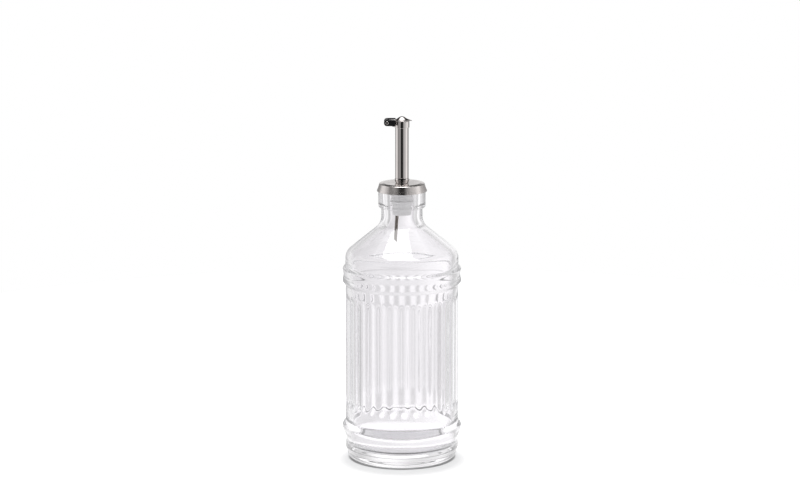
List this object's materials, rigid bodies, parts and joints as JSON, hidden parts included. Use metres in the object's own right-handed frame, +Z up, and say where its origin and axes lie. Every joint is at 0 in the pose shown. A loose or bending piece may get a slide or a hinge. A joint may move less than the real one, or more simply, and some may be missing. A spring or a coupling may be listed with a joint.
{
  "type": "oil and vinegar dispenser",
  "caption": "Fluted glass bottle with a push-in steel pourer: sealing plug, skirted cap disc, straight pour tube with breather, and a hinged flap lid with a thumb grip.",
  "frame": {"origin": "centre of the foot on the resting plane, on the bottle's axis", "axes": "+Z up along the bottle's axis, +X the way the flap's beak points, the hinge and thumb grip on -X"},
  "size_m": [0.0792, 0.0792, 0.2302],
  "materials": {
    "clear_glass": "clear pressed glass",
    "translucent_plastic": "translucent, satin",
    "polished_steel": "polished stainless",
    "black_plastic": "black, glossy"
  },
  "bodies": {
    "bottle": {"bottle_body": "clear_glass"},
    "plug": {"stopper_plug": "translucent_plastic"},
    "spout": {"cap_cover": "polished_steel", "tube_ferrule": "polished_steel", "pour_tube": "polished_steel", "breather_tube": "polished_steel", "hinge_collar": "polished_steel", "hinge_pin": "polished_steel"},
    "flap": {"flap_lid": "polished_steel", "thumb_grip": "black_plastic", "grip_rivet": "polished_steel"}
  },
  "joints": [
    {"name": "pourer_lift", "type": "slide", "parent": "bottle", "child": "plug", "axis": [0, 0, 1], "range_m": [0, 0.045]},
    {"name": "pourer_turn", "type": "hinge", "parent": "plug", "child": "spout", "pos_m": [0, 0, 0.183], "axis": [0, 0, 1], "continuous": true},
    {"name": "flap_hinge", "type": "hinge", "parent": "spout", "child": "flap", "pos_m": [-0.0056, 0, 0.2252], "axis": [0, -1, 0], "range_deg": [0, 85]}
  ]
}
